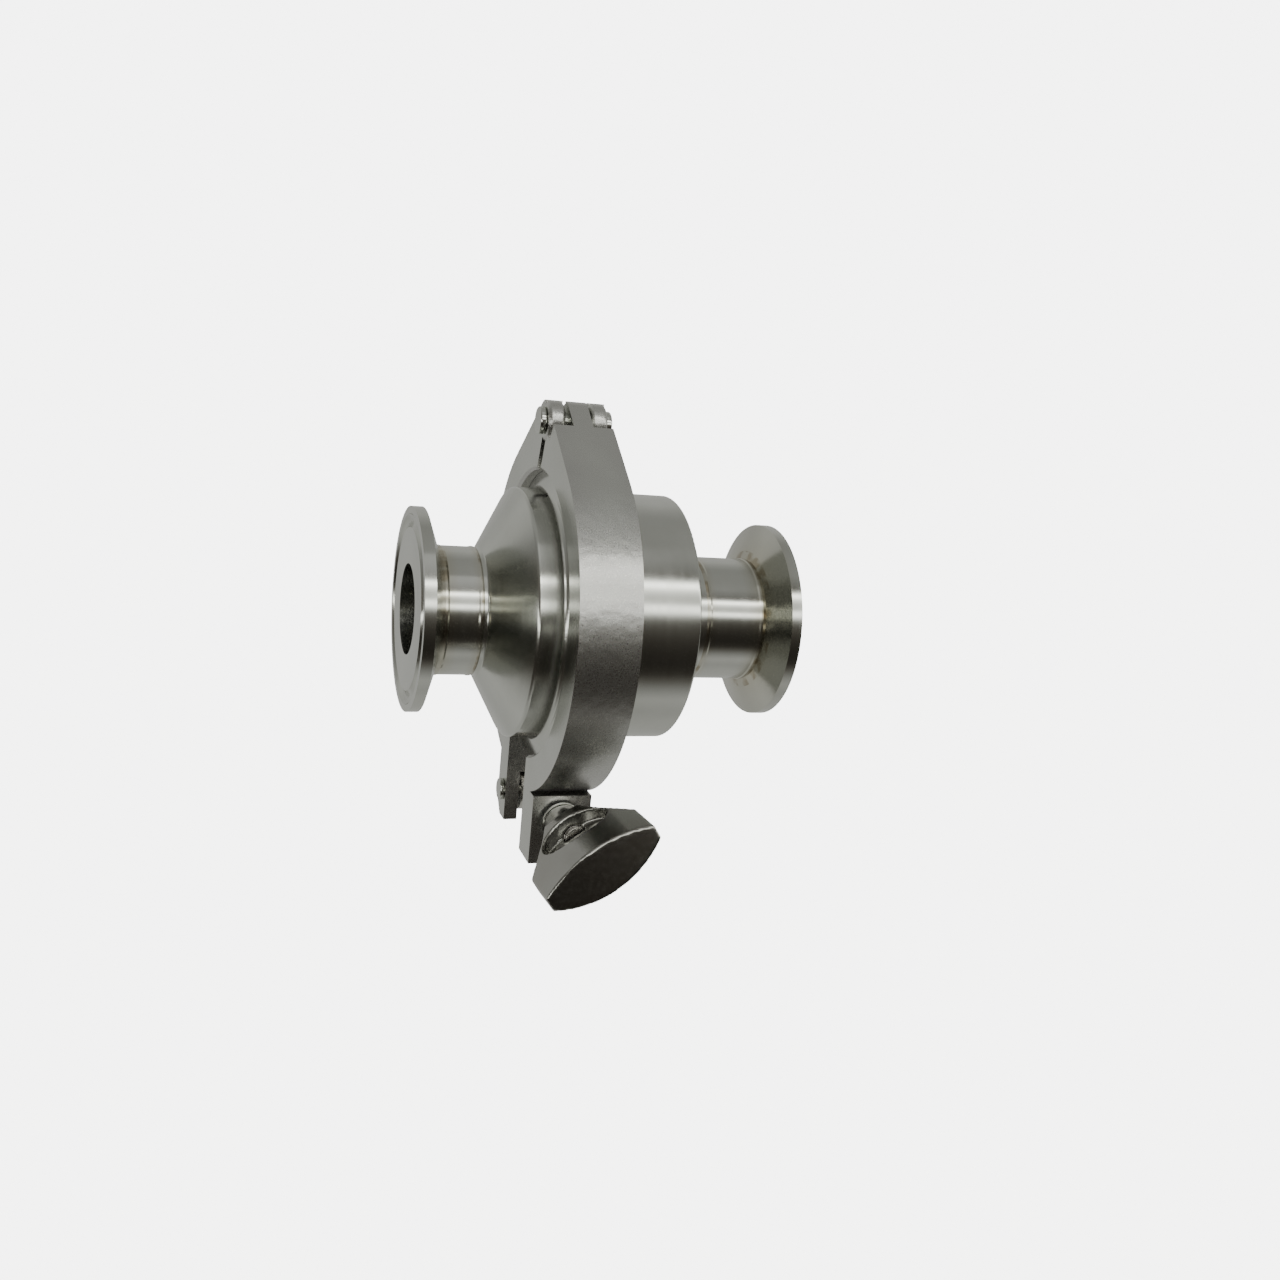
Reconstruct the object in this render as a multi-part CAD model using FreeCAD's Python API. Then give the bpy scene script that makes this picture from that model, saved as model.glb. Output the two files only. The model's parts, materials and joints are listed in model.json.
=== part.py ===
import FreeCAD, Part
import math
import os

# Clamped in-line spring check valve. Sizes are in millimetres.
# +X runs along the pipe from the inlet face to the outlet face, +Z points at the clamp hinge,
# and the wing nut is on the -Y side. The origin is the centre of the inlet face.

V = FreeCAD.Vector
X_AXIS = V(1, 0, 0)
ORIGIN = V(0, 0, 0)

# ---- pipe ports ----
port_rim_radius = 25.25
port_rim_thickness = 2.75
port_bore_radius = 11.2
port_groove_radius = 21.75
port_groove_section = 1.9
port_groove_lift = 0.8
tube_radius = 16.0
tube_bore_radius = 11.6
ferrule_back_slope = math.tan(math.radians(20.0))
weld_height = 0.15
weld_width = 1.4

# ---- lengths along the pipe ----
inlet_pipe_length = 9.8
inlet_neck_length = 0.9
cone_length = 8.4
inlet_barrel_length = 12.2
outlet_barrel_length = 26.4
outlet_neck_length = 7.7
outlet_pipe_length = 15.8

# ---- barrel and its middle flange ----
barrel_radius = 31.4
barrel_wall = 3.0
cone_wall = 3.2
barrel_edge_radius = 0.8
cone_edge_radius = 1.0
neck_fillet = 0.7
flange_root_fillet = 1.2
flange_height = 7.35
flange_lip = 2.85
gasket_thickness = 1.6
gasket_bead_section = 1.6
gasket_bead_inset = 3.45
gasket_rim_inset = 0.75
guide_shoulder_depth = 2.9
guide_seat_x_from_end = 9.4

# ---- poppet, guide and spring ----
flow_gap = 8.4
poppet_edge_length = 3.8
poppet_slope_length = 2.2
poppet_seat_clearance = 0.5
seal_section = 1.5
seal_inset = 3.0
leg_start_from_bore_end = 10.0
leg_thickness = 2.2
leg_core_radius = 3.0
stem_radius = 4.0
stem_spigot_radius = 3.0
stem_spigot_length = 4.0
stem_shoulder_radius = 5.6
stem_tail = 2.0
stem_tail_chamfer = 0.6
poppet_travel = 8.0
guide_thickness = 3.0
guide_hub_radius = 7.0
guide_hub_length = 8.0
guide_hub_front = 2.0
guide_bush_wall = 1.5
guide_window_inner = 10.0
guide_window_rim = 3.8
guide_arm_width = 6.0
spring_mean_radius = 8.2
spring_wire_radius = 0.7
spring_turns = 6

# ---- clamp ring ----
clamp_width = 15.0
clamp_band = 6.25
clamp_lip_cover = 2.75
clamp_floor_gap = 0.75
clamp_edge = 0.7
hinge_rise = 3.2
hinge_pin_radius = 2.5
knuckle_radius = 5.1
knuckle_width = 4.3
knuckle_gap = 0.7
knuckle_edge_radius = 1.3
knuckle_pocket_reach = 7.8
hinge_gap_half = 1.7
hinge_gap_lean = 1.4
pin_head_radius = 3.4
pin_head_thickness = 1.6

# ---- lugs, eye bolt and wing nut ----
lug_gap_half = 9.0
front_lug_thickness = 10.0
back_lug_thickness = 8.5
lug_reach = 15.0
lug_ledge_depth = 2.7
back_lug_shorter = 1.0
back_lug_corner = 3.5
pivot_drop = 6.5
bolt_tilt = 4.5
bolt_radius = 3.0
bolt_tip_beyond_lug = 15.0
bolt_tip_chamfer = 0.6
eye_radius = 5.5
eye_thickness = 7.0
pivot_pin_radius = 2.2
pivot_from_lug_face = 3.5
pivot_head_radius = 2.9
pivot_head_thickness = 1.2
nut_standoff = 1.6
washer_thickness = 1.0
washer_radius = 5.3
collar_radius = 5.1
collar_length = 7.0
wing_half_span = 14.6
wing_half_depth = 5.8
wing_tip_half_depth = 1.8
wing_flare_length = 13.5
wing_bar_length = 13.5
wing_crown = 1.2
wing_turn = 34.0
window_half_span = 8.7
window_half_length = 6.6
window_from_collar = 10.5
window_web_half = 1.6
nut_bore_beyond_window = 1.0

# ---- named clearances ----
running_gap = 0.06
seal_touch_gap = 0.02
gasket_gap = 0.05
clamp_cone_gap = 0.06
side_gap = 0.4
slot_gap = 0.3
turn_gap = 0.45
thrust_gap = 0.05
stop_gap = 0.15
guide_fit_gap = 0.1

# ---- places worked out from the sizes above ----
ferrule_length = port_rim_thickness + (port_rim_radius - tube_radius) * ferrule_back_slope
inlet_pipe_start = ferrule_length
inlet_body_start = inlet_pipe_start + inlet_pipe_length
cone_start = inlet_body_start + inlet_neck_length
cone_end = cone_start + cone_length
inlet_joint_face = cone_end + inlet_barrel_length
joint_x = inlet_joint_face + gasket_thickness / 2
outlet_joint_face = inlet_joint_face + gasket_thickness
outlet_barrel_end = outlet_joint_face + outlet_barrel_length
outlet_pipe_start = outlet_barrel_end + outlet_neck_length
outlet_pipe_end = outlet_pipe_start + outlet_pipe_length
face_to_face = outlet_pipe_end + ferrule_length

inner_radius = barrel_radius - barrel_wall
flange_radius = barrel_radius + flange_height
gasket_bead_radius = flange_radius - gasket_bead_inset
cone_slope = (barrel_radius - tube_radius) / cone_length
cone_slant = math.hypot(1.0, cone_slope)
poppet_radius = inner_radius - flow_gap
seal_contact_radius = poppet_radius - seal_inset

guide_seat_x = outlet_barrel_end - guide_seat_x_from_end
guide_front_x = guide_seat_x - guide_thickness
hub_front_x = guide_front_x - guide_hub_front
hub_back_x = hub_front_x + guide_hub_length

clamp_left = joint_x - clamp_width / 2
clamp_right = joint_x + clamp_width / 2
clamp_radius = flange_radius + clamp_band
clamp_opening_radius = flange_radius - clamp_lip_cover
hinge_z = clamp_radius + hinge_rise
pivot_z = -(clamp_radius + pivot_drop)
lug_bottom = -(clamp_radius + lug_reach)
front_lug_face = lug_gap_half + front_lug_thickness
pivot_y = lug_gap_half + pivot_from_lug_face

# distances along the bolt, from the pivot pin
lug_face_at = (pivot_y + front_lug_face) / math.cos(math.radians(bolt_tilt))
bolt_tip_at = lug_face_at + bolt_tip_beyond_lug
washer_at = lug_face_at + nut_standoff
nut_at = washer_at + washer_thickness + thrust_gap
bolt_rise_at_lug = lug_face_at * math.sin(math.radians(bolt_tilt))


def turned(points):
    """Solid turned about the pipe axis from (x, radius) points."""
    corners = [V(x, 0, r) for x, r in points]
    corners.append(corners[0])
    face = Part.Face(Part.makePolygon(corners))
    return face.revolve(ORIGIN, X_AXIS, 360)


def rod(radius, x0, x1, y=0.0, z=0.0):
    """Round bar parallel to the pipe."""
    return Part.makeCylinder(radius, x1 - x0, V(x0, y, z), X_AXIS)


def box(x0, x1, y0, y1, z0, z1):
    return Part.makeBox(x1 - x0, y1 - y0, z1 - z0, V(x0, y0, z0))


def plate(points, x0, x1):
    """Flat plate across the pipe from (y, z) points."""
    corners = [V(x0, y, z) for y, z in points]
    corners.append(corners[0])
    return Part.Face(Part.makePolygon(corners)).extrude(V(x1 - x0, 0, 0))


def along_bolt(radius, start, end):
    """Round bar on the level bolt axis, between two distances from the pivot."""
    return Part.makeCylinder(radius, end - start, V(joint_x, pivot_y - start, pivot_z), V(0, -1, 0))


def tilted(shape):
    """Turns a shape made on the level bolt axis up to the bolt's resting tilt."""
    shape.rotate(V(joint_x, pivot_y, pivot_z), X_AXIS, -bolt_tilt)
    return shape


def mirrored_x(shape, x):
    return shape.mirror(V(x, 0, 0), X_AXIS)


def rounded_rings(shape, rings, radius):
    """Fillets the round edges about the pipe axis that lie at the given (x, radius) places."""
    found = []
    for edge in shape.Edges:
        curve = edge.Curve
        if not isinstance(curve, Part.Circle) or abs(abs(curve.Axis.x) - 1) > 1e-6:
            continue
        for x, r in rings:
            if abs(curve.Center.x - x) < 0.01 and abs(curve.Radius - r) < 0.01:
                found.append(edge)
    return shape.makeFillet(radius, found)


def seat_line(x, inset=0.0):
    """Radius of the cone's inner wall at x, moved inwards by inset along its normal."""
    outer = tube_radius + cone_slope * (x - cone_start)
    return outer - (cone_wall + inset) * cone_slant


def seat_line_x(radius, inset=0.0):
    return cone_start + (radius + (cone_wall + inset) * cone_slant - tube_radius) / cone_slope


def ferrule():
    """Pipe end with a sloped back and a gasket groove in its face, facing -X."""
    blank = turned([
        (0, port_bore_radius),
        (0, port_rim_radius),
        (port_rim_thickness, port_rim_radius),
        (ferrule_length, tube_radius),
        (ferrule_length, port_bore_radius),
    ])
    groove = Part.makeTorus(port_groove_radius, port_groove_section, V(-port_groove_lift, 0, 0), X_AXIS)
    return blank.cut(groove)


def pipe(x0, x1):
    """Length of tube with a low weld bead at each end."""
    crest = tube_radius + weld_height
    rise = weld_width * 0.3
    return turned([
        (x0, tube_bore_radius),
        (x0, tube_radius),
        (x0 + rise, crest),
        (x0 + weld_width - rise, crest),
        (x0 + weld_width, tube_radius),
        (x1 - weld_width, tube_radius),
        (x1 - weld_width + rise, crest),
        (x1 - rise, crest),
        (x1, tube_radius),
        (x1, tube_bore_radius),
    ])


def flange_back(distance):
    """Radius of the flange's sloped back at a distance behind its joint face."""
    return flange_radius - (distance - flange_lip) / ferrule_back_slope


def gasket_bead(section):
    return Part.makeTorus(gasket_bead_radius, section, V(joint_x, 0, 0), X_AXIS)


def inlet_body():
    """Cone, short barrel and joint flange, with the poppet's seat inside the cone."""
    slope_end = flange_lip + (flange_radius - barrel_radius) * ferrule_back_slope
    face = inlet_joint_face
    shell = turned([
        (inlet_body_start, tube_bore_radius),
        (inlet_body_start, tube_radius),
        (cone_start, tube_radius),
        (cone_end, barrel_radius),
        (face - slope_end, barrel_radius),
        (face - flange_lip, flange_radius),
        (face, flange_radius),
        (face, inner_radius),
        (seat_line_x(inner_radius), inner_radius),
        (seat_line_x(tube_bore_radius), tube_bore_radius),
    ])
    shell = rounded_rings(shell, [(face - slope_end, barrel_radius)], flange_root_fillet)
    shell = rounded_rings(shell, [(cone_end, barrel_radius)], cone_edge_radius)
    shell = rounded_rings(shell, [(cone_start, tube_radius)], neck_fillet)
    return shell.cut(gasket_bead(gasket_bead_section + gasket_gap))


def outlet_body():
    """Joint flange, long barrel and neck, with a shoulder for the guide disc inside."""
    slope_end = flange_lip + (flange_radius - barrel_radius) * ferrule_back_slope
    face = outlet_joint_face
    end = outlet_barrel_end
    shoulder_radius = inner_radius - guide_shoulder_depth
    shell = turned([
        (face, inner_radius),
        (face, flange_radius),
        (face + flange_lip, flange_radius),
        (face + slope_end, barrel_radius),
        (end, barrel_radius),
        (end, tube_radius),
        (outlet_pipe_start, tube_radius),
        (outlet_pipe_start, tube_bore_radius),
        (end - barrel_wall, tube_bore_radius),
        (guide_seat_x, shoulder_radius),
        (guide_seat_x, inner_radius),
    ])
    shell = rounded_rings(shell, [(face + slope_end, barrel_radius)], flange_root_fillet)
    shell = rounded_rings(shell, [(end, barrel_radius)], barrel_edge_radius)
    shell = rounded_rings(shell, [(end, tube_radius)], neck_fillet)
    return shell.cut(gasket_bead(gasket_bead_section + gasket_gap))


def body_gasket():
    """Flat ring between the flanges with a round bead seated in both grooves."""
    ring = turned([
        (inlet_joint_face, inner_radius),
        (inlet_joint_face, flange_radius - gasket_rim_inset),
        (outlet_joint_face, flange_radius - gasket_rim_inset),
        (outlet_joint_face, inner_radius),
    ])
    return ring.fuse(gasket_bead(gasket_bead_section)).removeSplitter()


def seal_ring(section):
    """Ring resting on the cone at the seal contact radius."""
    reach = seal_section + seal_touch_gap
    x = seat_line_x(seal_contact_radius) + reach * cone_slope / cone_slant
    r = seal_contact_radius - reach / cone_slant
    return Part.makeTorus(r, section, V(x, 0, 0), X_AXIS)


poppet_front_x = seat_line_x(poppet_radius, poppet_seat_clearance) - poppet_slope_length
poppet_back_x = seat_line_x(poppet_radius, poppet_seat_clearance) + poppet_edge_length


def poppet_disc():
    """Disc with a sloped front edge that holds the seal ring."""
    disc = turned([
        (poppet_front_x, 0),
        (poppet_front_x, seat_line(poppet_front_x, poppet_seat_clearance)),
        (seat_line_x(poppet_radius, poppet_seat_clearance), poppet_radius),
        (poppet_back_x, poppet_radius),
        (poppet_back_x, 0),
    ])
    socket = rod(stem_spigot_radius, poppet_back_x - stem_spigot_length, poppet_back_x)
    return disc.cut(seal_ring(seal_section + running_gap)).cut(socket)


def poppet_guide_legs():
    """Four legs that slide in the inlet bore and keep the disc square."""
    start = seat_line_x(tube_bore_radius) - leg_start_from_bore_end
    reach = tube_bore_radius - running_gap
    half = leg_thickness / 2
    upright = box(start, poppet_front_x, -half, half, -reach - 1, reach + 1)
    level = box(start, poppet_front_x, -reach - 1, reach + 1, -half, half)
    cross = upright.fuse(level).common(rod(reach, start, poppet_front_x))
    return cross.fuse(rod(leg_core_radius, start, poppet_front_x)).removeSplitter()


def poppet_stem():
    """Stem with a screwed-in end, a shoulder that limits the travel and a guided tail."""
    shoulder_end = hub_front_x - poppet_travel - stop_gap
    tail_end = hub_back_x + stem_tail
    return turned([
        (poppet_back_x - stem_spigot_length, 0),
        (poppet_back_x - stem_spigot_length, stem_spigot_radius),
        (poppet_back_x, stem_spigot_radius),
        (poppet_back_x, stem_shoulder_radius),
        (shoulder_end, stem_shoulder_radius),
        (shoulder_end, stem_radius),
        (tail_end - stem_tail_chamfer, stem_radius),
        (tail_end, stem_radius - stem_tail_chamfer),
        (tail_end, 0),
    ])


def guide_disc():
    """Disc with three flow windows and a hub, held against the outlet shoulder."""
    outer = inner_radius - guide_fit_gap
    window_outer = outer - guide_window_rim
    disc = rod(outer, guide_front_x, guide_seat_x)
    window = rod(window_outer, guide_front_x, guide_seat_x)
    window = window.cut(rod(guide_window_inner, guide_front_x, guide_seat_x))
    half = guide_arm_width / 2
    for i in range(3):
        arm = box(guide_front_x, guide_seat_x, -half, half, 0, outer)
        arm.rotate(ORIGIN, X_AXIS, 120 * i)
        window = window.cut(arm)
    hub = rod(guide_hub_radius, hub_front_x, hub_back_x)
    hole = rod(guide_hub_radius - guide_bush_wall, hub_front_x, hub_back_x)
    return disc.cut(window).fuse(hub).cut(hole).removeSplitter()


def guide_bush():
    outside = rod(guide_hub_radius - guide_bush_wall, hub_front_x, hub_back_x)
    return outside.cut(rod(stem_radius + running_gap, hub_front_x, hub_back_x))


def return_spring():
    """Coil spring between the disc and the guide disc."""
    start = poppet_back_x + spring_wire_radius + seal_touch_gap
    end = guide_front_x - spring_wire_radius - seal_touch_gap
    length = end - start
    helix = Part.makeHelix(length / spring_turns, length, spring_mean_radius)
    circle = Part.Circle(V(spring_mean_radius, 0, 0), V(0, 1, 0), spring_wire_radius)
    section = Part.Wire([circle.toShape()])
    coil = Part.Wire(helix.Edges).makePipeShell([section], True, True)
    coil.rotate(ORIGIN, V(0, 1, 0), 90)
    coil.translate(V(start, 0, 0))
    return coil


def clamp_cavity():
    """Room for both flanges: the clamp touches them only on their sloped backs."""
    half_opening = clamp_width / 2 + 1
    floor_radius = flange_radius + clamp_floor_gap
    half_joint = gasket_thickness / 2 + flange_lip + clamp_cone_gap

    def half_width(r):
        return half_joint + (flange_radius - r) * ferrule_back_slope

    lip_radius = clamp_opening_radius
    bevel = lip_radius + clamp_edge
    outside = clamp_width / 2
    left = [
        (joint_x - half_opening, 0),
        (joint_x - half_opening, bevel),
        (joint_x - outside, bevel),
        (joint_x - outside + clamp_edge, lip_radius),
        (joint_x - half_width(lip_radius), lip_radius),
        (joint_x - half_width(floor_radius), floor_radius),
    ]
    right = [(2 * joint_x - x, r) for x, r in reversed(left)]
    return turned(left + right)


def hinge_slope():
    """Direction of the straight run from the ring up to the hinge: (across, up), for the +Y side."""
    up = (clamp_radius - knuckle_radius) / hinge_z
    return math.sqrt(1 - up * up), up


def clamp_blank(side):
    """Half of the ring's outline with its straight run up to the hinge, as a plate."""
    across, up = hinge_slope()
    turn = math.asin(across) / 2
    ring_touch = V(clamp_left, side * clamp_radius * across, clamp_radius * up)
    eye_touch = V(clamp_left, side * knuckle_radius * across, hinge_z + knuckle_radius * up)
    eye_middle = V(clamp_left, side * knuckle_radius * math.sin(turn), hinge_z + knuckle_radius * math.cos(turn))
    top = V(clamp_left, 0, hinge_z + knuckle_radius)
    bottom = V(clamp_left, 0, -clamp_radius)
    level = V(clamp_left, side * clamp_radius, 0)
    edges = [
        Part.Arc(bottom, level, ring_touch).toShape(),
        Part.makeLine(ring_touch, eye_touch),
        Part.Arc(eye_touch, eye_middle, top).toShape(),
        Part.makeLine(top, bottom),
    ]
    return Part.Face(Part.Wire(edges)).extrude(V(clamp_width, 0, 0))


def knuckle_spans(front):
    """Stretches of the hinge line that belong to the front half, or to the back half."""
    first_end = clamp_left + knuckle_width
    last_start = clamp_right - knuckle_width
    if front:
        return [(first_end + knuckle_gap, last_start - knuckle_gap)]
    return [(clamp_left, first_end), (last_start, clamp_right)]


def pocket_spans(front):
    """Stretches of the hinge line where a half makes room for the other half's knuckles."""
    first_end = clamp_left + knuckle_width
    last_start = clamp_right - knuckle_width
    if front:
        return [(clamp_left - 1, first_end + knuckle_gap), (last_start - knuckle_gap, clamp_right + 1)]
    return [(first_end, last_start)]


def knuckle(x0, x1):
    """One round hinge knuckle with softened edges."""
    blank = rod(knuckle_radius, x0, x1, 0, hinge_z)
    ends = [e for e in blank.Edges if isinstance(e.Curve, Part.Circle)]
    return blank.makeFillet(knuckle_edge_radius, ends)


def knuckle_pocket(side, x0, x1):
    """Room that a half leaves round the other half's knuckle: round inside, square towards its ring."""
    across, up = hinge_slope()
    round_room = rod(knuckle_radius + turn_gap, x0, x1, 0, hinge_z)
    outwards = knuckle_radius + 1
    reach = knuckle_pocket_reach

    def at(along, out):
        return side * (along * up + out * across), hinge_z - along * across + out * up

    square_room = plate([at(0, 0), at(reach, 0), at(reach, outwards), at(0, outwards)], x0, x1)
    return round_room.fuse(square_room)


def lug(side):
    """Block that the bolt pulls on, below the ring: its outer face stands proud with a small ledge."""
    front = side < 0
    reach = lug_bottom if front else lug_bottom + back_lug_shorter
    thickness = front_lug_thickness if front else back_lug_thickness
    inner = side * lug_gap_half
    outer = side * (lug_gap_half + thickness)
    corner = 0.0 if front else back_lug_corner
    inside = -(clamp_opening_radius + clamp_radius) / 2 + lug_ledge_depth
    ledge = -(clamp_radius - lug_ledge_depth) if front else inside
    root = side * (lug_gap_half + thickness / 2)
    return plate([
        (inner, inside),
        (inner, reach),
        (outer - side * corner, reach),
        (outer, reach + corner),
        (outer, ledge),
        (root, ledge),
        (root, inside),
    ], clamp_left, clamp_right)


def bolt_slot(side):
    """Way through a lug for the bolt's shank in front, or for its eye at the back, open downwards."""
    if side < 0:
        half = bolt_radius + slot_gap
        top = pivot_z + bolt_rise_at_lug + bolt_radius + slot_gap
        y0 = -front_lug_face - 1
        y1 = -lug_gap_half + 1
    else:
        half = eye_thickness / 2 + side_gap
        top = pivot_z + eye_radius + side_gap
        y0 = lug_gap_half - 1
        y1 = lug_gap_half + back_lug_thickness + 1
    return box(joint_x - half, joint_x + half, y0, y1, lug_bottom - 1, top)


def hinge_gap():
    """Narrow leaning gap between the two halves below the hinge."""
    top = hinge_z - knuckle_radius * 0.7
    foot = clamp_opening_radius
    return plate([
        (-hinge_gap_half - hinge_gap_lean, top),
        (hinge_gap_half - hinge_gap_lean, top),
        (hinge_gap_half + hinge_gap_lean, foot),
        (hinge_gap_half + hinge_gap_lean, 0),
        (-hinge_gap_half + hinge_gap_lean, 0),
        (-hinge_gap_half + hinge_gap_lean, foot),
    ], clamp_left - 1, clamp_right + 1)


def clamp_half(side):
    """Half of the clamp: side is -1 for the front half and 1 for the back half."""
    front = side < 0
    low_gap = box(clamp_left - 1, clamp_right + 1, -lug_gap_half, lug_gap_half, -clamp_radius - 1, 0)
    body = clamp_blank(side).cut(low_gap).fuse(lug(side))
    body = body.cut(hinge_gap())
    for x0, x1 in knuckle_spans(front):
        body = body.fuse(knuckle(x0, x1))
    for x0, x1 in pocket_spans(front):
        body = body.cut(knuckle_pocket(side, x0, x1))
    body = body.cut(clamp_cavity()).cut(bolt_slot(side))
    pin_gap = running_gap if front else 0.0
    body = body.cut(rod(hinge_pin_radius + pin_gap, clamp_left - 1, clamp_right + 1, 0, hinge_z))
    if not front:
        body = body.cut(rod(pivot_pin_radius, clamp_left - 1, clamp_right + 1, pivot_y, pivot_z))
    return body.removeSplitter()


def headed_pin(radius, head_radius, head_thickness, y, z):
    """Pin through the clamp's width with its head on the inlet side."""
    tail = clamp_right + head_thickness
    pin = rod(radius, clamp_left, tail, y, z)
    return pin.fuse(rod(head_radius, clamp_left - head_thickness, clamp_left, y, z)).removeSplitter()


def pin_collar(radius, head_radius, head_thickness, y, z):
    """Ring pressed on the pin's tail."""
    ring = rod(head_radius, clamp_right, clamp_right + head_thickness, y, z)
    return ring.cut(rod(radius, clamp_right - 1, clamp_right + head_thickness + 1, y, z))


def eye_bolt():
    """Bolt whose flat eye turns on the pivot pin between the back lug's ears."""
    half = eye_thickness / 2
    shank_end = bolt_tip_at - bolt_tip_chamfer
    eye = rod(eye_radius, joint_x - half, joint_x + half, pivot_y, pivot_z)
    shank = along_bolt(bolt_radius, 0, shank_end)
    tip = Part.makeCone(bolt_radius, bolt_radius - bolt_tip_chamfer, bolt_tip_chamfer,
                        V(joint_x, pivot_y - shank_end, pivot_z), V(0, -1, 0))
    hole = rod(pivot_pin_radius + running_gap, clamp_left, clamp_right, pivot_y, pivot_z)
    return tilted(eye.fuse(shank).fuse(tip).cut(hole).removeSplitter())


def nut_washer():
    ring = along_bolt(washer_radius, washer_at, washer_at + washer_thickness)
    return tilted(ring.cut(along_bolt(bolt_radius + slot_gap, washer_at - 1, nut_at)))


def wing_outline():
    """Broad side of the wings, drawn flat: length runs along the bolt, span across it."""
    flare_start = collar_length
    bar_start = flare_start + wing_flare_length
    bar_end = bar_start + wing_bar_length
    span = wing_half_span
    neck = collar_radius * 0.95
    top = bar_end + wing_crown

    def at(length, across):
        return V(joint_x + across, pivot_y - nut_at - length, pivot_z)

    def bend(sign):
        middle = at(flare_start + wing_flare_length * 0.55, sign * (neck + (span - neck) * 0.4))
        return Part.Arc(at(flare_start, sign * neck), middle, at(bar_start, sign * span)).toShape()

    edges = [
        Part.makeLine(at(flare_start, -neck), at(flare_start, neck)),
        bend(1),
        Part.makeLine(at(bar_start, span), at(bar_end, span)),
        Part.Arc(at(bar_end, span), at(top, 0), at(bar_end, -span)).toShape(),
        Part.makeLine(at(bar_end, -span), at(bar_start, -span)),
        bend(-1),
    ]
    return Part.Face(Part.Wire(Part.sortEdges(edges)[0]))


def wing_nut():
    """Cast nut: round collar, wings with a lens-shaped end, and a scooped window each side."""
    depth = wing_half_depth
    bulge = depth - wing_tip_half_depth
    slab = wing_outline()
    slab.translate(V(0, 0, -depth))
    slab = slab.extrude(V(0, 0, 2 * depth))
    bow = (wing_half_span ** 2 + bulge ** 2) / (2 * bulge)
    length = collar_length + wing_flare_length + wing_bar_length + wing_crown + 1
    nut_y = pivot_y - nut_at
    upper = Part.makeCylinder(bow, length, V(joint_x, nut_y, pivot_z + depth - bow), V(0, -1, 0))
    lower = Part.makeCylinder(bow, length, V(joint_x, nut_y, pivot_z - depth + bow), V(0, -1, 0))
    wings = slab.common(upper).common(lower)
    nut = wings.fuse(along_bolt(collar_radius, nut_at, nut_at + collar_length + window_from_collar))
    window_y = nut_y - collar_length - window_from_collar
    oval = Part.Ellipse(V(joint_x, window_y, pivot_z), window_half_span, window_half_length)
    for start, end in ((window_web_half, depth + 1), (-depth - 1, -window_web_half)):
        face = Part.Face(Part.Wire([oval.toShape()]))
        face.translate(V(0, 0, start))
        nut = nut.cut(face.extrude(V(0, 0, end - start)))
    bore_end = max(bolt_tip_at, nut_at + collar_length) + nut_bore_beyond_window
    nut = nut.cut(along_bolt(bolt_radius + running_gap, nut_at - 1, bore_end))
    nut.rotate(V(joint_x, 0, pivot_z), V(0, -1, 0), wing_turn)
    return tilted(nut.removeSplitter())


def outlet_ferrule():
    end = ferrule()
    end.translate(V(face_to_face, 0, 0))
    return mirrored_x(end, face_to_face)


nodes = {
    "inlet_ferrule": ferrule(),
    "inlet_pipe": pipe(inlet_pipe_start, inlet_body_start),
    "inlet_body": inlet_body(),
    "body_gasket": body_gasket(),
    "outlet_body": outlet_body(),
    "outlet_pipe": pipe(outlet_pipe_start, outlet_pipe_end),
    "outlet_ferrule": outlet_ferrule(),
    "guide_disc": guide_disc(),
    "guide_bush": guide_bush(),
    "poppet_disc": poppet_disc(),
    "poppet_guide_legs": poppet_guide_legs(),
    "poppet_stem": poppet_stem(),
    "poppet_seal": seal_ring(seal_section),
    "return_spring": return_spring(),
    "clamp_front_half": clamp_half(-1),
    "clamp_back_half": clamp_half(1),
    "hinge_pin": headed_pin(hinge_pin_radius, pin_head_radius, pin_head_thickness, 0, hinge_z),
    "hinge_pin_collar": pin_collar(hinge_pin_radius, pin_head_radius, pin_head_thickness, 0, hinge_z),
    "pivot_pin": headed_pin(pivot_pin_radius, pivot_head_radius, pivot_head_thickness, pivot_y, pivot_z),
    "pivot_pin_collar": pin_collar(pivot_pin_radius, pivot_head_radius, pivot_head_thickness,
                                   pivot_y, pivot_z),
    "eye_bolt": eye_bolt(),
    "nut_washer": nut_washer(),
    "wing_nut": wing_nut(),
}

os.makedirs("parts", exist_ok=True)
for name, shape in nodes.items():
    shape.exportStep("parts/" + name + ".step")
    print(name, "valid", shape.isValid(), "solids", len(shape.Solids), "volume", round(shape.Volume, 1))
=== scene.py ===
import json
import math

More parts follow.
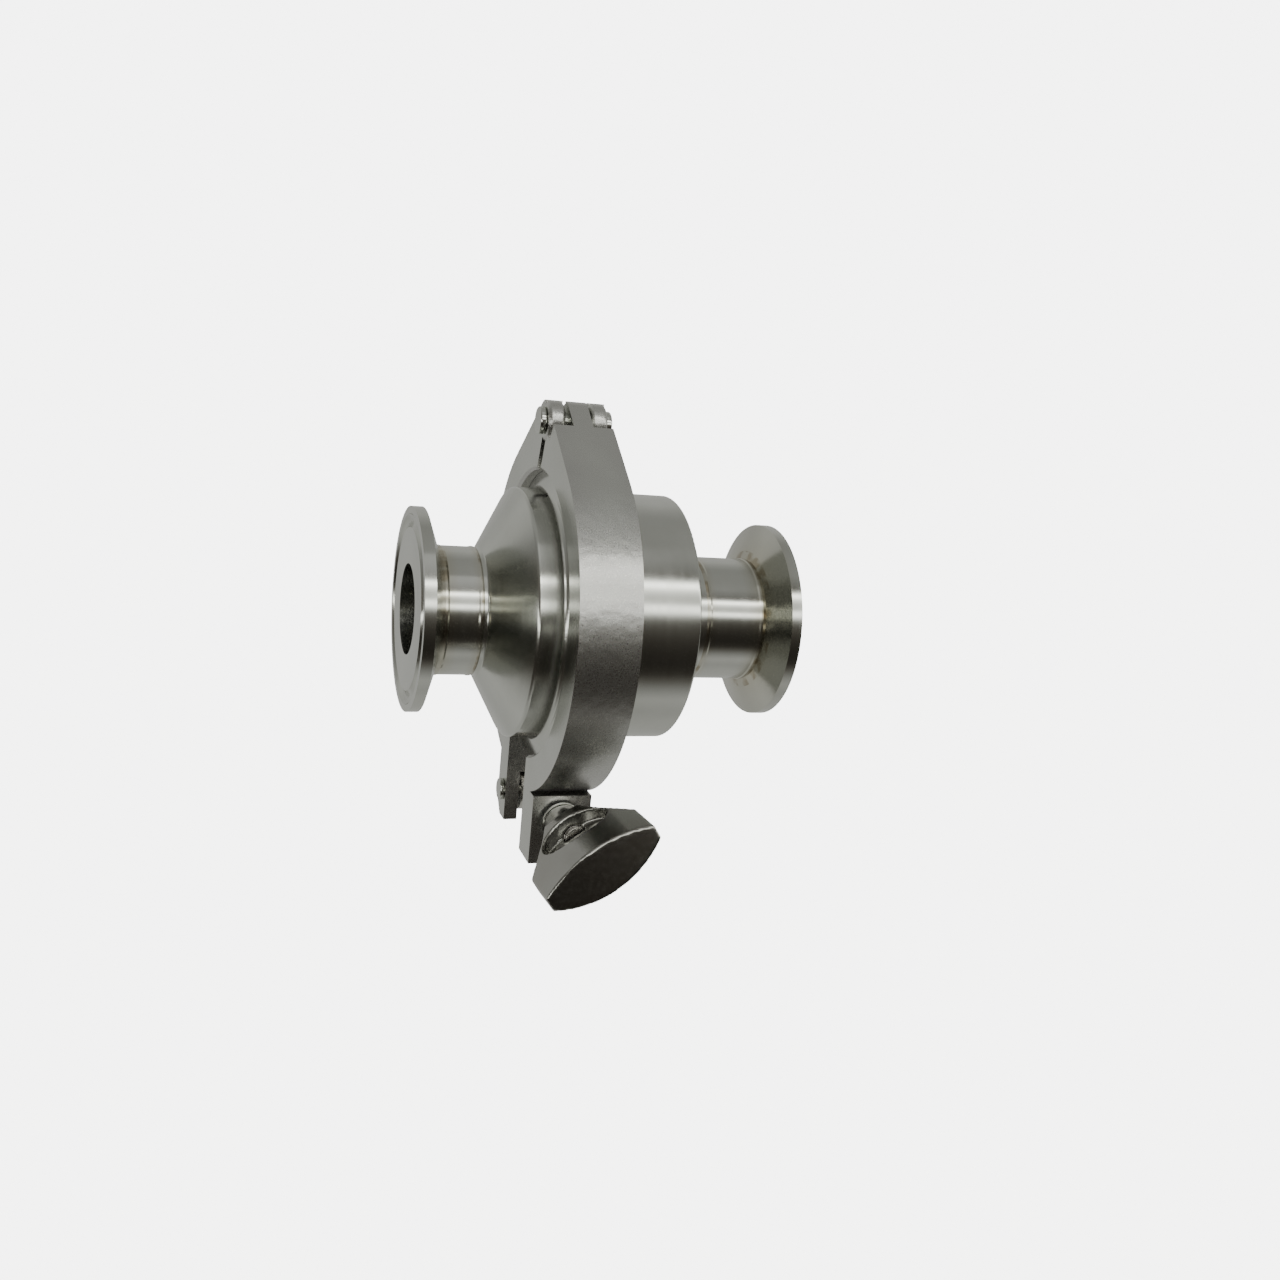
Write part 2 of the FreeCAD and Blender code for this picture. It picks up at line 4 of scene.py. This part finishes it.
import bmesh
import bpy
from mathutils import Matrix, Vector


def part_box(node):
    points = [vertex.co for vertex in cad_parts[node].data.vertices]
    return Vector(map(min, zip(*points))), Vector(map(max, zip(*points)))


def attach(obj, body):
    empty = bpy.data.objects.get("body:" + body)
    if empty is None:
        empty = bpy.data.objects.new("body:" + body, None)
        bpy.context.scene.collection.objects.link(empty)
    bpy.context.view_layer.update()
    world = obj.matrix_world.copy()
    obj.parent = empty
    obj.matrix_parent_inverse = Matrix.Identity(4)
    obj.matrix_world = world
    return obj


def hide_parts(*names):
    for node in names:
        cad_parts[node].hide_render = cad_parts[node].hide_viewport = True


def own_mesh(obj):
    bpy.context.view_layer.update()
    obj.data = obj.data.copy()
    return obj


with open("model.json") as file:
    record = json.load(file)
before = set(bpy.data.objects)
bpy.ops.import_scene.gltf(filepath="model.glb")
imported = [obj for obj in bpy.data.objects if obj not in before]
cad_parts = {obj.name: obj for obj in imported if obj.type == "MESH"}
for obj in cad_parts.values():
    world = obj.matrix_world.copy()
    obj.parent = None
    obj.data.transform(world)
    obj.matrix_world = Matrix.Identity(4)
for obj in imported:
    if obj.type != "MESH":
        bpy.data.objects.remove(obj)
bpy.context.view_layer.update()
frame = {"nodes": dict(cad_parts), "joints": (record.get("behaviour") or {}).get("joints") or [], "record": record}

MM = 0.001
FULL_TURN = 2 * math.pi

# colour sockets of a Mix node
MIX_SHARE, MIX_A, MIX_B, MIX_RESULT = 0, 6, 7, 2

CAST_EDGE = 0.55 * MM
PIN_EDGE = 0.5 * MM
NUT_VOXEL = 0.33 * MM
NUT_MELT_PASSES = 7
WELD_BEAD = 0.8 * MM
SPRING_WIRE = 0.7 * MM
SPRING_TURNS = 6
THREAD_PITCH = 1.0 * MM
THREAD_START = 9.0 * MM
WING_TURN = 34.0
FLOOR_SIZE = 3.0
FLOOR_START_Y = -0.09
FLOOR_Z = -0.16


# ---- places read from the frame ----
def span(node, axis):
    low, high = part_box(node)
    return low[axis], high[axis]


def joint(name):
    return next(j for j in frame["joints"] if j["name"] == name)


BOLT_PIVOT = Vector(joint("bolt_swing")["pos_m"])
BOLT_WAY = Vector(joint("nut_travel")["axis"])


# ---- node helpers ----
class Tree:
    """Small wrapper that keeps node building readable."""

    def __init__(self, owner, out="ShaderNodeOutputMaterial", shader="ShaderNodeBsdfPrincipled"):
        owner.use_nodes = True
        self.nodes = owner.node_tree.nodes
        self.links = owner.node_tree.links
        self.nodes.clear()
        self.out = self.nodes.new(out)
        self.shader = self.nodes.new(shader)
        self.links.new(self.shader.outputs[0], self.out.inputs["Surface"])

    def add(self, kind, **values):
        node = self.nodes.new(kind)
        for key, value in values.items():
            setattr(node, key, value)
        return node

    def join(self, source, target):
        self.links.new(source, target)

    def math(self, operation, a, b=0.0):
        node = self.add("ShaderNodeMath", operation=operation)
        for socket, value in zip(node.inputs, (a, b)):
            if isinstance(value, (int, float)):
                socket.default_value = value
            else:
                self.join(value, socket)
        return node.outputs[0]

    def ramp(self, factor, stops):
        node = self.add("ShaderNodeValToRGB")
        elements = node.color_ramp.elements
        while len(elements) < len(stops):
            elements.new(0.5)
        for element, (place, colour) in zip(elements, stops):
            element.position = place
            element.color = (*colour, 1) if len(colour) == 3 else colour
        self.join(factor, node.inputs[0])
        return node.outputs[0]

    def noise(self, vector, scale, detail=2.0, roughness=0.5):
        node = self.add("ShaderNodeTexNoise")
        node.inputs["Scale"].default_value = scale
        node.inputs["Detail"].default_value = detail
        node.inputs["Roughness"].default_value = roughness
        self.join(vector, node.inputs["Vector"])
        return node.outputs["Fac"]

    def bump(self, height, strength, distance, normal=None):
        node = self.add("ShaderNodeBump")
        node.inputs["Strength"].default_value = strength
        node.inputs["Distance"].default_value = distance
        self.join(height, node.inputs["Height"])
        if normal is not None:
            self.join(normal, node.inputs["Normal"])
        return node.outputs["Normal"]

    def spread(self, value, low, high):
        node = self.add("ShaderNodeMapRange")
        node.inputs["From Min"].default_value = 0.3
        node.inputs["From Max"].default_value = 0.7
        node.inputs["To Min"].default_value = low
        node.inputs["To Max"].default_value = high
        self.join(value, node.inputs["Value"])
        return node.outputs["Result"]


def grey(level, warmth=0.0):
    """Plain grey, or slightly brown where warmth is over 0."""
    return (level * (1 + warmth), level, level * (1 - 2.2 * warmth))


def olive(level, tint=1.0):
    """Steel grey with the slight green cast that the polished parts have."""
    return (level * (1 - 0.015 * tint), level, level * (1 - 0.06 * tint))


def lathe_vector(tree, coarse_turn):
    """Coordinates that change fast across the tool marks and slowly along them, about the pipe axis."""
    place = tree.add("ShaderNodeTexCoord").outputs["Object"]
    parts = tree.add("ShaderNodeSeparateXYZ")
    tree.join(place, parts.inputs[0])
    x, y, z = parts.outputs
    radius = tree.math("SQRT", tree.math("ADD", tree.math("MULTIPLY", y, y), tree.math("MULTIPLY", z, z)))
    angle = tree.math("ARCTAN2", z, y)
    across = tree.math("ADD", tree.math("MULTIPLY", x, 1000.0), tree.math("MULTIPLY", radius, 1700.0))
    vector = tree.add("ShaderNodeCombineXYZ")
    tree.join(across, vector.inputs[0])
    tree.join(tree.math("MULTIPLY", tree.math("SINE", angle), coarse_turn), vector.inputs[1])
    tree.join(tree.math("MULTIPLY", tree.math("COSINE", angle), coarse_turn), vector.inputs[2])
    return vector.outputs[0], x, place


def vector_round(tree, place, bead):
    """Coordinates in which spots stretch along the pipe axis by a weld bead's width."""
    mapping = tree.add("ShaderNodeMapping")
    mapping.inputs["Scale"].default_value = (bead * 60, 1, 1)
    tree.join(place, mapping.inputs["Vector"])
    return mapping.outputs[0]


def stained(tree, colour, amount, stain):
    """Multiplies a colour by a stain, by an amount from 0 to 1."""
    mix = tree.add("ShaderNodeMix", data_type="RGBA", blend_type="MULTIPLY")
    mix.inputs[MIX_B].default_value = stain
    tree.join(amount, mix.inputs[MIX_SHARE])
    tree.join(colour, mix.inputs[MIX_A])
    return mix.outputs[MIX_RESULT]


def turned_steel(name, level, rough_low, rough_high, heat_places=()):
    """Stainless with fine brushed marks round the pipe axis, and a brown tint beside its welds."""
    material = bpy.data.materials.new(name)
    tree = Tree(material)
    vector, x, place = lathe_vector(tree, 2.2)
    fine = tree.noise(vector, 5.0, 3.0, 0.65)
    broad = tree.noise(vector, 0.55, 2.0)
    cloud = tree.noise(place, 60.0, 3.0)
    colour = tree.ramp(cloud, [(0.3, olive(level * 0.92, 1.2)), (0.7, olive(level * 1.04))])
    blots = tree.noise(vector_round(tree, place, 0.0055), 300.0, 2.0)
    for centre, reach in heat_places:
        distance = tree.math("ABSOLUTE", tree.math("SUBTRACT", x, centre))
        tint = tree.ramp(tree.math("DIVIDE", distance, reach),
                         [(0.0, (1, 1, 1)), (0.3, (0.55, 0.55, 0.55)), (1.0, (0, 0, 0))])
        colour = stained(tree, colour, tint, (0.90, 0.86, 0.77, 1))
        bead = tree.math("LESS_THAN", distance, WELD_BEAD)
        dark = tree.ramp(blots, [(0.45, (0, 0, 0)), (0.62, (0.85, 0.85, 0.85))])
        colour = stained(tree, colour, tree.math("MULTIPLY", bead, dark), (0.62, 0.56, 0.47, 1))
    tree.join(colour, tree.shader.inputs["Base Color"])
    tree.shader.inputs["Metallic"].default_value = 1.0
    tree.join(tree.spread(tree.math("MULTIPLY", tree.math("ADD", fine, broad), 0.5), rough_low, rough_high),
              tree.shader.inputs["Roughness"])
    normal = tree.bump(fine, 0.03, 0.00003)
    tree.join(normal, tree.shader.inputs["Normal"])
    tangent = tree.add("ShaderNodeTangent", direction_type="RADIAL", axis="X")
    tree.join(tangent.outputs[0], tree.shader.inputs["Tangent"])
    tree.shader.inputs["Anisotropic"].default_value = 0.65
    tree.shader.inputs["Anisotropic Rotation"].default_value = 0.25
    return material


def dressed_marks(tree, place, turn):
    """Fine straight marks left by dressing a face on a belt, at an angle about the level axis."""
    mapping = tree.add("ShaderNodeMapping")
    mapping.inputs["Rotation"].default_value = (0, math.radians(turn), 0)
    mapping.inputs["Scale"].default_value = (3200, 500, 90)
    tree.join(place, mapping.inputs["Vector"])
    return tree.noise(mapping.outputs[0], 1.0, 2.0)


def cast_steel(name, level, rough_low, rough_high, grain, depth, warmth=0.012, marks_turn=None):
    """Investment-cast stainless: fine pits, soft lumps, and a satin sheen."""
    material = bpy.data.materials.new(name)
    tree = Tree(material)
    place = tree.add("ShaderNodeTexCoord").outputs["Object"]
    pits = tree.noise(place, grain, 3.0, 0.7)
    lumps = tree.noise(place, grain * 0.12, 2.0)
    cloud = tree.noise(place, 45.0, 3.0)
    tree.join(tree.ramp(cloud, [(0.3, grey(level * 0.88, warmth)), (0.72, olive(level * 1.05, 0.9))]),
              tree.shader.inputs["Base Color"])
    tree.shader.inputs["Metallic"].default_value = 1.0
    tree.join(tree.spread(pits, rough_low, rough_high), tree.shader.inputs["Roughness"])
    normal = tree.bump(pits, 0.5, depth)
    normal = tree.bump(lumps, 0.5, depth * 4, normal)
    if marks_turn is not None:
        normal = tree.bump(dressed_marks(tree, place, marks_turn), 0.35, 0.00006, normal)
    tree.join(normal, tree.shader.inputs["Normal"])
    return material


def threaded_steel(name, level, pitch, start):
    """Bright bar with a rolled thread from a distance along the bolt onwards."""
    material = bpy.data.materials.new(name)
    tree = Tree(material)
    place = tree.add("ShaderNodeTexCoord").outputs["Object"]
    fine = tree.noise(place, 2200.0, 3.0)
    cloud = tree.noise(place, 160.0, 2.0)
    tree.join(tree.ramp(cloud, [(0.3, grey(level * 0.86, 0.03)), (0.7, grey(level, 0.02))]),
              tree.shader.inputs["Base Color"])
    tree.shader.inputs["Metallic"].default_value = 1.0
    tree.join(tree.spread(fine, 0.2, 0.32), tree.shader.inputs["Roughness"])
    along = tree.add("ShaderNodeVectorMath", operation="DOT_PRODUCT")
    along.inputs[1].default_value = BOLT_WAY
    offset = tree.add("ShaderNodeVectorMath", operation="SUBTRACT")
    offset.inputs[1].default_value = BOLT_PIVOT
    tree.join(place, offset.inputs[0])
    tree.join(offset.outputs[0], along.inputs[0])
    distance = along.outputs["Value"]
    wave = tree.math("SINE", tree.math("MULTIPLY", distance, FULL_TURN / pitch))
    ridges = tree.math("MULTIPLY", wave, tree.math("GREATER_THAN", distance, start))
    normal = tree.bump(ridges, 0.8, 0.0003)
    normal = tree.bump(fine, 0.2, 0.00002, normal)
    tree.join(normal, tree.shader.inputs["Normal"])
    return material


def polymer(name, colour, rough_low, rough_high):
    """Moulded rubber or plastic with a fine grain and a faint cloud in its colour."""
    material = bpy.data.materials.new(name)
    tree = Tree(material)
    place = tree.add("ShaderNodeTexCoord").outputs["Object"]
    fine = tree.noise(place, 900.0, 3.0)
    cloud = tree.noise(place, 70.0, 2.0)
    low = tuple(c * 0.9 for c in colour)
    tree.join(tree.ramp(cloud, [(0.3, low), (0.7, colour)]), tree.shader.inputs["Base Color"])
    tree.join(tree.spread(fine, rough_low, rough_high), tree.shader.inputs["Roughness"])
    tree.join(tree.bump(fine, 0.3, 0.00003), tree.shader.inputs["Normal"])
    return material


WELDS = [(span("inlet_pipe", 0)[0] + 0.7 * MM, 3.5 * MM), (span("inlet_pipe", 0)[1], 2.5 * MM),
         (span("outlet_pipe", 0)[0], 3.0 * MM), (span("outlet_pipe", 0)[1], 5.0 * MM)]
steel_turned = turned_steel("steel_turned", 0.52, 0.15, 0.23)
steel_welded = turned_steel("steel_welded", 0.52, 0.14, 0.22, WELDS)
steel_bright = turned_steel("steel_bright", 0.56, 0.09, 0.17)
steel_cast = cast_steel("steel_cast", 0.50, 0.24, 0.36, 3200.0, 0.00004)
steel_nut = cast_steel("steel_nut", 0.34, 0.15, 0.25, 900.0, 0.000012, 0.035, -WING_TURN)
steel_thread = threaded_steel("steel_thread", 0.52, THREAD_PITCH, THREAD_START)
elastomer_white = polymer("elastomer_white", (0.78, 0.77, 0.72), 0.45, 0.6)
elastomer_black = polymer("elastomer_black", (0.03, 0.03, 0.032), 0.4, 0.55)
plastic_white = polymer("plastic_white", (0.85, 0.85, 0.82), 0.35, 0.5)

FINISH = {
    "turned_stainless": steel_turned, "cast_stainless": steel_cast, "bright_stainless": steel_bright,
    "polished_casting": steel_nut, "spring_wire": steel_bright, "white_elastomer": elastomer_white,
    "black_elastomer": elastomer_black, "white_plastic": plastic_white,
}
SLOT = {s["node"]: s["material_slot"] for s in frame["record"]["subparts"]}
BODY = {node: body for body, nodes in frame["record"]["behaviour"]["bodies"].items() for node in nodes}
for node, shown in frame["nodes"].items():
    shown.data.materials.clear()
    shown.data.materials.append(FINISH[SLOT[node]])
for node in ("inlet_pipe", "outlet_pipe", "inlet_ferrule", "outlet_ferrule"):
    frame["nodes"][node].data.materials[0] = steel_welded
frame["nodes"]["eye_bolt"].data.materials[0] = steel_thread


# ---- mesh helpers ----
def new_object(name, mesh):
    shown = bpy.data.objects.new(name, mesh)
    bpy.context.scene.collection.objects.link(shown)
    return shown


def settle(shown):
    """Turns an object's modifiers into its mesh."""
    bpy.context.view_layer.update()
    graph = bpy.context.evaluated_depsgraph_get()
    mesh = bpy.data.meshes.new_from_object(shown.evaluated_get(graph), preserve_all_data_layers=True,
                                           depsgraph=graph)
    shown.modifiers.clear()
    shown.data = mesh
    return shown


def smooth(shown, angle=32):
    """Shades curved faces smoothly and keeps sharp edges sharp."""
    shown.data.polygons.foreach_set("use_smooth", [True] * len(shown.data.polygons))
    shown.data.set_sharp_from_angle(angle=math.radians(angle))
    weighted = shown.modifiers.new("weighted", "WEIGHTED_NORMAL")
    weighted.keep_sharp = True
    return settle(shown)


def join_corners(shown, flat_angle=None):
    """Joins a mesh's doubled corners and, if an angle is given, merges faces that are that flat."""
    shape = bmesh.new()
    shape.from_mesh(shown.data)
    bmesh.ops.remove_doubles(shape, verts=shape.verts, dist=1e-6)
    if flat_angle is not None:
        bmesh.ops.dissolve_limit(shape, angle_limit=flat_angle, verts=shape.verts, edges=shape.edges)
    shape.to_mesh(shown.data)
    shape.free()


def stand_for(shown, node, material=None):
    """The piece takes a CAD node's place and body, and the material given, if any."""
    if material is not None:
        shown.data.materials.clear()
        shown.data.materials.append(material)
    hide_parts(node)
    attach(shown, BODY[node])
    return shown


def softened(node, name, width, segments=3, angle=35, finishes=(), edge_slot=-1):
    """Copy of a CAD node with a bevel on its sharp edges, which can have their own finish.

    The bevel stops where it would overlap its neighbours, so it comes out far narrower than asked
    on a mesh with small faces, as the clamp halves have.
    """
    shown = new_object(name, frame["nodes"][node].data.copy())
    shown.data.materials.clear()
    for finish in finishes:
        shown.data.materials.append(finish)
    join_corners(shown, math.radians(0.6))
    bevel = shown.modifiers.new("bevel", "BEVEL")
    bevel.width = width
    bevel.segments = segments
    bevel.limit_method = "ANGLE"
    bevel.angle_limit = math.radians(angle)
    bevel.use_clamp_overlap = True
    bevel.material = edge_slot
    settle(shown)
    return smooth(shown)


def clamp_piece(node, name):
    """Clamp half: cast outside, and turned on the flat sides that look along the pipe."""
    shown = softened(node, name, CAST_EDGE, finishes=(steel_cast, steel_turned, steel_bright), edge_slot=2)
    for face in shown.data.polygons:
        if face.material_index == 0 and abs(face.normal.x) > 0.995:
            face.material_index = 1
    return stand_for(shown, node)


def sculpted(node, name, voxel, passes):
    """Copy of a CAD node as a casting: one skin whose edges have all melted a little."""
    shown = new_object(name, frame["nodes"][node].data.copy())
    join_corners(shown)
    skin = shown.modifiers.new("skin", "REMESH")
    skin.mode = "VOXEL"
    skin.voxel_size = voxel
    skin.use_smooth_shade = True
    melt = shown.modifiers.new("melt", "SMOOTH")
    melt.factor = 0.5
    melt.iterations = passes
    settle(shown)
    shown.data.polygons.foreach_set("use_smooth", [True] * len(shown.data.polygons))
    return shown


def spring_piece():
    """Round wire wound in an even coil between the poppet and the guide disc."""
    low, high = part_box("return_spring")
    wire = SPRING_WIRE
    start = low[0] + wire
    length = high[0] - low[0] - 2 * wire
    coil = (high[1] - low[1]) / 2 - wire
    steps = 36 * SPRING_TURNS
    line = bpy.data.curves.new("spring_line", "CURVE")
    line.dimensions = "3D"
    line.bevel_depth = wire * 0.98
    line.bevel_resolution = 3
    line.use_fill_caps = True
    spline = line.splines.new("POLY")
    spline.points.add(steps)
    for i, point in enumerate(spline.points):
        angle = FULL_TURN * SPRING_TURNS * i / steps
        place = (start + length * i / steps, coil * math.cos(angle), coil * math.sin(angle))
        point.co = (*place, 1)
    shown = bpy.data.objects.new("spring_wire", line)
    bpy.context.scene.collection.objects.link(shown)
    graph = bpy.context.evaluated_depsgraph_get()
    mesh = bpy.data.meshes.new_from_object(shown.evaluated_get(graph))
    bpy.data.objects.remove(shown)
    shown = new_object("coil_spring", mesh)
    mesh.polygons.foreach_set("use_smooth", [True] * len(mesh.polygons))
    stand_for(shown, "return_spring", steel_bright)
    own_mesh(shown)


clamp_piece("clamp_front_half", "clamp_front")
clamp_piece("clamp_back_half", "clamp_back")
stand_for(sculpted("wing_nut", "cast_wing_nut", NUT_VOXEL, NUT_MELT_PASSES), "wing_nut", steel_nut)
for pin in ("hinge_pin", "hinge_pin_collar", "pivot_pin", "pivot_pin_collar"):
    stand_for(softened(pin, pin + "_rounded", PIN_EDGE, 4, 50), pin, steel_bright)
spring_piece()


# ---- floor, light and camera ----
def pale_floor():
    """Pale glowing sheet under and behind the valve, which the metal doesn't reflect."""
    shape = bmesh.new()
    bmesh.ops.create_grid(shape, x_segments=2, y_segments=2, size=FLOOR_SIZE)
    mesh = bpy.data.meshes.new("floor")
    shape.to_mesh(mesh)
    shape.free()
    floor = new_object("floor", mesh)
    floor.location = (0, FLOOR_SIZE + FLOOR_START_Y, FLOOR_Z)
    material = bpy.data.materials.new("floor_pale")
    tree = Tree(material)
    place = tree.add("ShaderNodeTexCoord").outputs["Object"]
    tree.join(tree.ramp(tree.noise(place, 3.0), [(0.3, grey(0.90)), (0.7, grey(0.92))]),
              tree.shader.inputs["Base Color"])
    tree.shader.inputs["Roughness"].default_value = 0.9
    tree.shader.inputs["Emission Color"].default_value = (1, 1, 1, 1)
    tree.shader.inputs["Emission Strength"].default_value = 5.2
    mesh.materials.append(material)
    floor.visible_glossy = False


# Light level of the room by angle above the level line, in degrees, towards the front and the left.
# The levels were set so that the turned metal shows the same light and dark bands as the real valve.
FRONT_LEVELS = [
    (-180, 0.50), (-106, 0.56), (-88, 0.50), (-72, 0.60), (-60, 0.36), (-51, 0.15), (-44, 0.045),
    (-34, 0.03), (-22, 0.035), (-10, 0.055), (2, 0.11), (9, 0.22), (13, 0.8), (16, 3.4), (20, 4.6),
    (24, 1.1), (31, 1.2), (37, 2.4), (40, 7.5), (42, 6.0), (45, 0.7), (49, 0.18), (55, 0.28),
    (66, 0.42), (90, 0.42), (115, 0.40), (142, 0.60), (180, 0.50),
]
LEFT_LEVELS = [
    (-180, 0.62), (-100, 0.66), (-80, 0.62), (-62, 0.50), (-50, 0.24), (-38, 0.08), (-30, 0.05), (-22, 0.03),
    (-15, 0.045), (-9, 0.13), (-6, 0.7), (-3, 4.0), (0, 4.0), (2, 0.7), (5, 0.20), (12, 0.17), (21, 0.19),
    (34, 0.26), (47, 0.31), (78, 0.47), (100, 0.60), (143, 0.66), (180, 0.62),
]


def light_row(tree, up, front, levels):
    """Light that depends on the angle above the level line; dim places are warmer."""
    turn = tree.math("ADD", tree.math("MULTIPLY", tree.math("ARCTAN2", up, front), 1 / FULL_TURN), 0.5)
    stops = []
    for degrees, level in levels:
        warm = min(1.0, max(0.0, (0.30 - level) / 0.25))
        stops.append((degrees / 360 + 0.5, (level * (1 + 0.12 * warm), level, level * (0.95 - 0.12 * warm))))
    return tree.ramp(turn, stops)


def room_light():
    """Room that the metal reflects, with a dark band and lamp rows; the camera sees plain white."""
    world = bpy.data.worlds.new("room")
    bpy.context.scene.world = world
    tree = Tree(world, "ShaderNodeOutputWorld", "ShaderNodeBackground")
    plain = tree.add("ShaderNodeBackground")
    plain.inputs["Color"].default_value = (1, 1, 1, 1)
    plain.inputs["Strength"].default_value = 5.8
    parts = tree.add("ShaderNodeSeparateXYZ")
    tree.join(tree.add("ShaderNodeTexCoord").outputs["Generated"], parts.inputs[0])
    x, y, z = parts.outputs
    front = tree.math("MULTIPLY", y, -1.0)
    left = tree.math("SUBTRACT", front, tree.math("MULTIPLY", x, 0.9))
    sides = tree.add("ShaderNodeMix", data_type="RGBA")
    share = tree.add("ShaderNodeMapRange")
    share.inputs["From Min"].default_value = -0.30
    share.inputs["From Max"].default_value = -0.55
    tree.join(x, share.inputs["Value"])
    tree.join(share.outputs[0], sides.inputs[MIX_SHARE])
    tree.join(light_row(tree, z, front, FRONT_LEVELS), sides.inputs[MIX_A])
    tree.join(light_row(tree, z, left, LEFT_LEVELS), sides.inputs[MIX_B])
    tree.join(sides.outputs[MIX_RESULT], tree.shader.inputs["Color"])
    mix = tree.add("ShaderNodeMixShader")
    tree.join(tree.add("ShaderNodeLightPath").outputs["Is Camera Ray"], mix.inputs[0])
    tree.join(tree.shader.outputs[0], mix.inputs[1])
    tree.join(plain.outputs[0], mix.inputs[2])
    tree.join(mix.outputs[0], tree.out.inputs[0])


def key_light():
    """Large dim panel above and in front."""
    light = bpy.data.lights.new("panel", "AREA")
    light.shape = "RECTANGLE"
    light.size = 0.9
    light.size_y = 0.5
    light.energy = 0.4
    shown = bpy.data.objects.new("panel", light)
    bpy.context.scene.collection.objects.link(shown)
    shown.location = (-0.1, -0.5, 0.9)
    shown.rotation_euler = (math.radians(28), 0, 0)


def camera():
    """Camera in front, to the left and above, rolled a little as the valve hangs tilted in its view."""
    view = bpy.data.cameras.new("camera")
    view.sensor_width = 36
    view.lens = 36.4
    shown = bpy.data.objects.new("camera", view)
    bpy.context.scene.collection.objects.link(shown)
    shown.location = (-0.0516, -0.3115, 0.0658)
    shown.rotation_euler = tuple(math.radians(a) for a in (77.63, -5.58, -18.70))
    bpy.context.scene.camera = shown


pale_floor()
room_light()
key_light()
camera()
